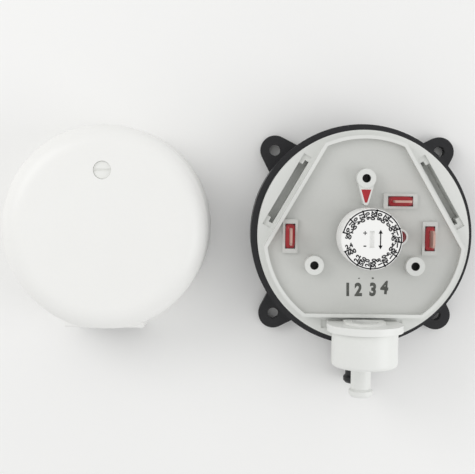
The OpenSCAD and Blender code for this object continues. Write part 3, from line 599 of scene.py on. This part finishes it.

# --- Terminals -----------------------------------------------------------------------------------
# Three stamped brass strips, tinned where they stand up as 6.3 mm tabs. Each is sealed in its
# pot with red resin, poured by hand: it climbs the tab and bulges a little over the frame. The
# tabs' pinkish metal colour is painted reflection of the red resin, and their red band at the
# resin's level is the resin's film and also painted reflection of the resin.


def metal_material(name, colour, roughness, grain=(900.0, 900.0, 60.0), tarnish=0.08):
    """Bare metal with drawn lines along one axis and a slow change of tone."""
    material = bpy.data.materials.new(name)
    tree = node_tree(material)
    place = add(tree, "ShaderNodeTexCoord", (-1100, 0))
    stretch = add(tree, "ShaderNodeMapping", (-900, 0))
    stretch.inputs["Scale"].default_value = grain
    lines = add(tree, "ShaderNodeTexNoise", (-700, 0))
    lines.inputs["Scale"].default_value = 3.0
    lines.inputs["Detail"].default_value = 3.0
    clouds = add(tree, "ShaderNodeTexNoise", (-700, -250))
    clouds.inputs["Scale"].default_value = 160.0
    tone = add(tree, "ShaderNodeMix", (-450, 0), data_type="RGBA")
    tone.inputs[6].default_value = (*[c * (1 - tarnish) for c in colour], 1)
    tone.inputs[7].default_value = (*[min(1, c * (1 + tarnish)) for c in colour], 1)
    dull = add(tree, "ShaderNodeMapRange", (-450, -250))
    dull.inputs["To Min"].default_value = roughness - 0.08
    dull.inputs["To Max"].default_value = roughness + 0.1
    relief = add(tree, "ShaderNodeBump", (-250, -350))
    relief.inputs["Strength"].default_value = 0.12
    relief.inputs["Distance"].default_value = 0.03 * MM
    metal = add(tree, "ShaderNodeBsdfPrincipled")
    metal.inputs["Metallic"].default_value = 1.0
    out = add(tree, "ShaderNodeOutputMaterial", (300, 0))
    tree.links.new(place.outputs["Object"], stretch.inputs["Vector"])
    tree.links.new(stretch.outputs["Vector"], lines.inputs["Vector"])
    tree.links.new(place.outputs["Object"], clouds.inputs["Vector"])
    tree.links.new(clouds.outputs["Fac"], tone.inputs["Factor"])
    tree.links.new(lines.outputs["Fac"], dull.inputs["Value"])
    tree.links.new(lines.outputs["Fac"], relief.inputs["Height"])
    tree.links.new(tone.outputs[2], metal.inputs["Base Color"])
    tree.links.new(dull.outputs["Result"], metal.inputs["Roughness"])
    tree.links.new(relief.outputs["Normal"], metal.inputs["Normal"])
    tree.links.new(metal.outputs["BSDF"], out.inputs["Surface"])
    return material


# Near the resin's level the tabs get a red film: the resin wetting them, and also painted reflection
# of the red resin.
film_middle, film_half = 30.1 * MM, 1.2 * MM  # the heights where the resin has wetted the tabs
# The darker red is painted shade along the resin's edge and skirt.
film_and_reflection_red, rim_shade_red = (0.33, 0.012, 0.018), (0.10, 0.003, 0.007)
# This metal's pinkish colour is painted reflection of the red resin round the tabs.
tab_metal_painted_reflection = metal_material("tab_metal_painted_reflection", (0.56, 0.36, 0.31), roughness=0.45)
tree = tab_metal_painted_reflection.node_tree
mix = next(n for n in tree.nodes if n.type == "MIX")
metal = next(n for n in tree.nodes if n.type == "BSDF_PRINCIPLED")
place = add(tree, "ShaderNodeTexCoord", (-1100, 500))
axes = add(tree, "ShaderNodeSeparateXYZ", (-900, 700))
smears = add(tree, "ShaderNodeTexNoise", (-900, 500))
smears.inputs["Scale"].default_value = 620.0
smears.inputs["Detail"].default_value = 2.0
wetted = add(tree, "ShaderNodeMapRange", (-700, 500))
wetted.inputs["From Min"].default_value = 0.44
wetted.inputs["From Max"].default_value = 0.54
near_pot = add(tree, "ShaderNodeMath", (-700, 700), operation="COMPARE")
near_pot.inputs[1].default_value = film_middle
near_pot.inputs[2].default_value = film_half
film = add(tree, "ShaderNodeMath", (-500, 600), operation="MULTIPLY")
# The red band on the tabs is resin film and also painted reflection of the resin.
coated = add(tree, "ShaderNodeMix", (-200, 300), data_type="RGBA")
coated.inputs[7].default_value = (*film_and_reflection_red, 1)
bare = add(tree, "ShaderNodeMath", (-200, 600), operation="SUBTRACT")
bare.inputs[0].default_value = 1.0
tree.links.new(place.outputs["Object"], smears.inputs["Vector"])
tree.links.new(place.outputs["Object"], axes.inputs[0])
tree.links.new(smears.outputs["Fac"], wetted.inputs["Value"])
tree.links.new(axes.outputs["Z"], near_pot.inputs[0])
tree.links.new(wetted.outputs["Result"], film.inputs[0])
tree.links.new(near_pot.outputs[0], film.inputs[1])
tree.links.new(film.outputs[0], coated.inputs["Factor"])
tree.links.new(mix.outputs[2], coated.inputs[6])
tree.links.new(coated.outputs[2], metal.inputs["Base Color"])
tree.links.new(film.outputs[0], bare.inputs[1])
tree.links.new(bare.outputs[0], metal.inputs["Metallic"])
for number in (1, 2, 3):
    dress("terminal_%d" % number, tab_metal_painted_reflection)

resin_red = lacquer_material("resin_red", deep=(0.26, 0.004, 0.009), bright=(0.42, 0.010, 0.016),
                             roughness=0.34)
tree = resin_red.node_tree
mix = next(n for n in tree.nodes if n.type == "MIX")
skin = next(n for n in tree.nodes if n.type == "BSDF_PRINCIPLED")
# Towards its rim the resin is painted a darker red, as painted shade.
rim_shade_mask = add(tree, "ShaderNodeAttribute", (-500, 250), attribute_name="rim")
rim_shade_tone = add(tree, "ShaderNodeMix", (-250, 150), data_type="RGBA")
rim_shade_tone.inputs[7].default_value = (*rim_shade_red, 1)
tree.links.new(rim_shade_mask.outputs["Fac"], rim_shade_tone.inputs["Factor"])
tree.links.new(mix.outputs[2], rim_shade_tone.inputs[6])
tree.links.new(rim_shade_tone.outputs[2], skin.inputs["Base Color"])


def smoothed(piece):
    """Shades all faces of a piece as one smooth surface."""
    piece.data.polygons.foreach_set("use_smooth", np.ones(len(piece.data.polygons), bool))


def resin_pot(name, node, middle, turned, seed):
    """The resin's skin over its pot: an oblong of the two half lengths with rounded corners, its
    height a low dome plus a meniscus that falls off exponentially from the tab, plus slow ripples;
    the rim wavers by a few hundredths of its reach. Below it a skirt goes down to the pot's bottom.
    The attribute rim grows from 0 to 1 over the outer quarter and is 1 on the skirt; there the
    resin is painted darker as painted shade."""
    half_l, half_w = 4.72 * MM, 1.92 * MM
    tab_half_l, tab_half_w = 3.15 * MM, 0.4 * MM
    bottom, rim = 27.7 * MM, 29.62 * MM
    rows, sides = 16, 96
    rng = np.random.default_rng(seed)
    phase = rng.uniform(0, 6.28, 4)
    turn = np.linspace(0, 2 * np.pi, sides, endpoint=False)
    reach = np.linspace(0, 1, rows)
    square = (np.abs(np.cos(turn)) ** 5 + np.abs(np.sin(turn)) ** 5) ** (-1 / 5)
    waver = 1 + 0.018 * np.sin(3 * turn + phase[0]) + 0.014 * np.sin(7 * turn + phase[1])
    u = np.outer(reach, square * waver * np.cos(turn)) * half_l
    v = np.outer(reach, square * waver * np.sin(turn)) * half_w
    out_share = reach[:, None]
    dome = 0.30 * MM * (1 - out_share ** 4)
    past_side = np.maximum(np.abs(v) - tab_half_w, 0)
    past_end = np.maximum(np.abs(u) - tab_half_l, 0)
    climb = 0.42 * MM * np.exp(-past_side / (0.38 * MM)) * np.exp(-past_end / (0.4 * MM))
    ripple = 0.07 * MM * np.sin(u / MM * 1.3 + phase[2]) * np.cos(v / MM * 2.1 + phase[3])
    z = rim + dome + climb * (1 - out_share ** 8) + ripple * (1 - out_share ** 6)
    skirt = np.stack([u[-1] * 0.985, v[-1] * 0.985, np.full(sides, bottom)], -1)
    points = np.concatenate([np.stack([u, v, z], -1)[1:].reshape(-1, 3), skirt,
                             [[0, 0, z[0, 0]]], [[0, 0, bottom]]])
    top, under, last_ring = rows * sides, rows * sides + 1, (rows - 1) * sides
    faces = ring_faces(rows, sides)
    faces += [(top, k, (k + 1) % sides) for k in range(sides)]
    faces += [(under, last_ring + (k + 1) % sides, last_ring + k) for k in range(sides)]
    if turned:
        points[:, :2] = np.stack([-points[:, 1], points[:, 0]], -1)
    points[:, 0] += middle[0] * MM
    points[:, 1] += middle[1] * MM
    pot = joined_mesh(name, [(points, faces)], resin_red)
    # Over the outer quarter the resin is painted darker, as painted shade.
    darker = np.clip((reach[1:] - 0.72) / 0.28, 0, 1) ** 1.5
    rim_shade_value = np.concatenate([np.repeat(darker, sides), np.ones(sides), [0, 1]])
    pot.data.attributes.new("rim", "FLOAT", "POINT").data.foreach_set("value", rim_shade_value)
    smoothed(pot)
    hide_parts(node)
    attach(pot, "housing")


resin_pot("resin_1", "terminal_resin_1", (-27.8, -0.2), True, 3)
resin_pot("resin_2", "terminal_resin_2", (13.3, 13.3), False, 5)
resin_pot("resin_3", "terminal_resin_3", (24.6, -0.6), True, 8)

# --- Sealing drop --------------------------------------------------------------------------------
# The stop screw beside the dial is locked against turning: its pot is filled with one drop of dark
# red lacquer, which stands up a little as a dome.
drop_x, drop_radius = 13.1 * MM, 2.38 * MM
drop_low, drop_edge, drop_rise = 29.62 * MM, 30.75 * MM, 0.55 * MM


def revolved(profile, sides):
    """A closed surface of revolution about Z: each (radius, height) of the profile becomes a ring,
    and the first and last lie on the axis, where they close in a fan."""
    turn = np.linspace(0, 2 * np.pi, sides, endpoint=False)
    inner = np.array(profile[1:-1])
    rings = np.stack([inner[:, :1] * np.cos(turn), inner[:, :1] * np.sin(turn),
                      np.repeat(inner[:, 1:], sides, 1)], -1).reshape(-1, 3)
    points = np.concatenate([rings, [[0, 0, profile[0][1]]], [[0, 0, profile[-1][1]]]])
    m = len(inner)
    last_ring = (m - 1) * sides
    faces = [(a, d, c, b) for a, b, c, d in ring_faces(m, sides)]
    faces += [(m * sides, (k + 1) % sides, k) for k in range(sides)]
    faces += [(m * sides + 1, last_ring + k, last_ring + (k + 1) % sides) for k in range(sides)]
    return points, faces


drop_line = [(0, drop_low), (drop_radius, drop_low), (drop_radius, drop_edge)]
drop_line += [(drop_radius * math.cos(a), drop_edge + drop_rise * math.sin(a))
              for a in np.linspace(0.15, 1.45, 10)]
drop_line += [(0, drop_edge + drop_rise)]
points, faces = revolved(drop_line, 48)
sealing_red = lacquer_material("sealing_red", deep=(0.10, 0.004, 0.006), bright=(0.24, 0.010, 0.014),
                               roughness=0.25)
drop = joined_mesh("sealing_drop", [(points + [drop_x, 0, 0], faces)], sealing_red)
smoothed(drop)
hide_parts("stop_screw_seal")
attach(drop, "housing")

# --- Cable gland ---------------------------------------------------------------------------------
# Pale nylon: the insert with its collar slides into the bottom rim slot from above, and the round
# nut presses a ring onto the rubber sleeve that grips the cable.
gland_pale = moulded_material("gland_pale", (0.80, 0.81, 0.785), roughness=0.36, drift=0.03,
                              specks=0.02, grain=1900.0, bump=0.03)
gland = rounded_copy("gland_body", 0.25 * MM)
nut = rounded_copy("gland_nut", 0.25 * MM)
for piece, body_name in ((gland, "housing"), (nut, "nut")):
    piece.data.materials.append(gland_pale)
    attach(piece, body_name)


def slim_barrel(piece, radius, root, axis_z):
    """Moves the smooth barrel's corners in to the thread's root radius and returns the barrel's two
    ends along Y: its side faces have every corner at the radius and a normal across the axis."""
    bm = bmesh.new()
    bm.from_mesh(piece.data)
    side = [f for f in bm.faces if abs(f.normal.y) < 0.05 and all(
        abs(math.hypot(v.co.x, v.co.z - axis_z) - radius) < 0.02 * MM for v in f.verts)]
    corners = {v for f in side for v in f.verts}
    ends = [v.co.y for v in corners]
    for v in corners:
        v.co.x *= root / radius
        v.co.z = axis_z + (v.co.z - axis_z) * root / radius
    bm.to_mesh(piece.data)
    bm.free()
    return min(ends), max(ends)


def thread_mesh(radius, root, pitch, axis_z, first, last):
    """A right-handed thread round a barrel along Y: at each height and angle the radius is the
    crest's less the depth times a wave of the pitch, turned with the angle and flattened at its
    crest; the depth fades out over half a millimetre at both ends. Two rows inside close it."""
    rows, sides = 112, 96
    height = np.linspace(first, last, rows)
    turn = np.linspace(0, 2 * np.pi, sides, endpoint=False)
    yy, tt = np.meshgrid(height, turn, indexing="ij")
    wave = np.abs(np.mod(yy / pitch + tt / (2 * np.pi), 1.0) * 2 - 1)
    groove = np.clip(1.25 - 1.5 * wave, 0, 1)
    fade = np.clip(np.minimum(yy - first, last - yy) / (0.5 * MM), 0, 1)
    r = radius - (radius - root - 0.08 * MM) * groove * fade
    r = np.concatenate([r, np.full((2, sides), root - 0.05 * MM)])
    yy = np.concatenate([yy, np.full((1, sides), last), np.full((1, sides), first)])
    tt = np.concatenate([tt, tt[:2]])
    points = np.stack([r * np.cos(tt), yy, axis_z + r * np.sin(tt)], -1).reshape(-1, 3)
    return points, ring_faces(*r.shape, closed=True)


gland_axis_z = sum(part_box("gland_nut")[i][2] for i in (0, 1)) / 2
crest, root, thread_pitch, end_gap = 9.9 * MM, 9.2 * MM, 1.5 * MM, 0.01 * MM
barrel_far, barrel_near = slim_barrel(gland, crest, root, gland_axis_z)
thread = thread_mesh(crest, root, thread_pitch, gland_axis_z,
                     barrel_far + end_gap, barrel_near - end_gap)
gland_thread = joined_mesh("gland_thread", [thread], gland_pale)
smoothed(gland_thread)
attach(gland_thread, "housing")
dress("gland_ring", gland_pale)
dress("gland_seal", moulded_material("gland_rubber", (0.022, 0.022, 0.024), roughness=0.6, drift=0.3,
                                     specks=0.3, grain=1500.0, bump=0.1, specular=0.3))

# --- Cover ---------------------------------------------------------------------------------------
# The white hood, taken off and laid rim down beside the switch: one thin moulding with a big
# round along its top edge, an arch for the gland and one well for its screw.
cover_white = moulded_material("cover_white", (0.89, 0.89, 0.87), roughness=0.38, drift=0.02,
                               specks=0.015, grain=1700.0, bump=0.03)
cover = rounded_copy("cover", 0.3 * MM)
cover.data.materials.append(cover_white)
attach(cover, "housing")

# --- The cover's screw ---------------------------------------------------------------------------
# The one screw that holds the cover on: a long pale moulding with a thick head, which stands in
# the cover's well and ends flush at its top, with a shallow slot, and a thinner shank below.
head_length, head_radius, head_edge = 12.3 * MM, 3.36 * MM, 0.25 * MM
slot_half, slot_depth = 0.45 * MM, 0.45 * MM
shank_radius, shank_tip, shank_chamfer = 1.5 * MM, 1.15 * MM, 0.4 * MM


def slotted_head(radius, bottom, top, slot_half, slot_depth, edge):
    """A disc cut into chords: each row at y is a chord of half length sqrt(r^2 - y^2), its points
    spaced as a sine. The top sinks by the slot's depth between the two slot rows, and along the rim
    by a quarter round of the given edge; the sides and bottom close it."""
    rows, columns = 45, 41
    y = radius * np.sin(np.radians(np.linspace(-88, 88, rows)))
    low, mid, high = y[y < -slot_half], y[np.abs(y) < slot_half], y[y > slot_half]
    y = np.concatenate([low, [-slot_half] * 2, mid, [slot_half] * 2, high])
    sunk = np.concatenate([np.zeros(len(low) + 1), np.ones(len(mid) + 2), np.zeros(len(high) + 1)])
    u = np.sin(np.linspace(-np.pi / 2, np.pi / 2, columns))
    x = np.sqrt(radius ** 2 - y[:, None] ** 2) * u
    yy = np.repeat(y[:, None], columns, 1)
    over = np.clip((np.hypot(x, yy) - (radius - edge)) / edge, 0, 1)
    rim = edge * (1 - np.sqrt(1 - over ** 2))
    z = top - np.maximum(slot_depth * sunk[:, None], rim)
    points = np.concatenate([np.stack([x, yy, height], -1).reshape(-1, 3)
                             for height in (z, np.full_like(x, bottom))])
    m, n = x.shape
    under = m * n
    faces = [(i * n + j, i * n + j + 1, (i + 1) * n + j + 1, (i + 1) * n + j)
             for i in range(m - 1) for j in range(n - 1)]
    faces += [(d + under, c + under, b + under, a + under) for a, b, c, d in faces]
    grid = np.arange(under).reshape(m, n)
    border = np.concatenate([grid[:-1, 0], grid[-1, :-1], grid[:0:-1, -1], grid[0, :0:-1]]).tolist()
    faces += [(a, b, b + under, a + under) for a, b in zip(border, border[1:] + border[:1])]
    return points, faces


screw_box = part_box("cover_screw")
screw_x, screw_y = [(screw_box[0][i] + screw_box[1][i]) / 2 for i in (0, 1)]
screw_low, screw_top = screw_box[0][2], screw_box[1][2]
head_low = screw_top - head_length
head = slotted_head(head_radius, head_low, screw_top, slot_half, slot_depth, head_edge)
shank = revolved([(0, screw_low), (shank_tip, screw_low), (shank_radius, screw_low + shank_chamfer),
                  (shank_radius, head_low), (0, head_low)], 40)
screw_pale = moulded_material("screw_pale", (0.85, 0.855, 0.83), roughness=0.42, drift=0.03,
                              specks=0.02, grain=1800.0, bump=0.04)
cover_screw = joined_mesh("cover_screw_moulded", [(points + [screw_x, screw_y, 0], faces)
                                                  for points, faces in (head, shank)], screw_pale)
smoothed(cover_screw)
cover_screw.data.set_sharp_from_angle(angle=math.radians(35))
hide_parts("cover_screw")
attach(cover_screw, "housing")

# --- Inside --------------------------------------------------------------------------------------
# The parts under the deck: silicone membrane with its moulded plate and pin, the brass spring seat
# on the dial's thread, the lever with its riveted silver contacts, and the screws from the back.
zinc = metal_material("zinc_steel", (0.66, 0.66, 0.65), roughness=0.32)
spring_steel = metal_material("spring_steel", (0.60, 0.61, 0.62), roughness=0.28)
brass = metal_material("turned_brass", (0.76, 0.60, 0.30), roughness=0.3)
silver = metal_material("contact_silver", (0.85, 0.85, 0.86), roughness=0.24)
natural = moulded_material("natural_plastic", (0.72, 0.72, 0.68), roughness=0.42, drift=0.04,
                           specks=0.03, grain=2000.0, bump=0.04)
silicone = moulded_material("silicone", (0.50, 0.20, 0.10), roughness=0.5, drift=0.12, specks=0.06,
                            grain=1200.0, bump=0.05, specular=0.4)
rubber = moulded_material("ring_rubber", (0.02, 0.02, 0.022), roughness=0.5, drift=0.2, specks=0.2,
                          grain=1500.0, bump=0.06, specular=0.4)
for node, material in {
    "housing_screws": zinc, "lever_pin": zinc, "dial_clip": spring_steel,
    "diaphragm": silicone, "diaphragm_plate": natural, "push_pin": natural, "dial_seal": rubber,
    "spring_seat": brass, "stop_screw": brass, "contact_lever": brass, "lever_contact": silver,
    "lower_contact": silver, "upper_contact": silver,
}.items():
    dress(node, material)

# --- Range spring --------------------------------------------------------------------------------
# The coil spring that holds the membrane's plate down against the pressure: hard steel wire, wound
# cold. It shortens from both ends: the seat presses its upper turns together and the plate its lower
# turns. It is drawn as an upper and a lower half, cut level at the middle turn, both fixed to the
# housing.
spring_low, spring_high = (corner[2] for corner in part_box("range_spring"))
spring_middle = (spring_low + spring_high) / 2
seat_stroke, plate_stroke = 1.531 * MM, 1.5 * MM


def half_spring(name, upper):
    """One half of the coil: the node's surface merged and cut level at half height, the part on the
    other side taken away and the cut wire closed."""
    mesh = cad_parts["range_spring"].data.copy()
    mesh.materials.clear()
    mesh.materials.append(spring_steel)
    bm = bmesh.new()
    bm.from_mesh(mesh)
    bmesh.ops.remove_doubles(bm, verts=bm.verts, dist=merge_gap)
    bmesh.ops.bisect_plane(bm, geom=bm.verts[:] + bm.edges[:] + bm.faces[:],
                           plane_co=(0, 0, spring_middle), plane_no=(0, 0, 1),
                           clear_inner=upper, clear_outer=not upper)
    bmesh.ops.holes_fill(bm, edges=[edge for edge in bm.edges if edge.is_boundary])
    bmesh.ops.recalc_face_normals(bm, faces=bm.faces)
    if bm.calc_volume(signed=True) < 0:
        bmesh.ops.reverse_faces(bm, faces=bm.faces)
    bm.to_mesh(mesh)
    bm.free()
    half = bpy.data.objects.new(name, mesh)
    scene.collection.objects.link(half)
    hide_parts("range_spring")
    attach(half, "housing")
    return half


for name, joint, travel, upper in (("spring_upper_turns", "seat_travel", seat_stroke, True),
                                   ("spring_lower_turns", "plate_travel", plate_stroke, False)):
    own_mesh(half_spring(name, upper))
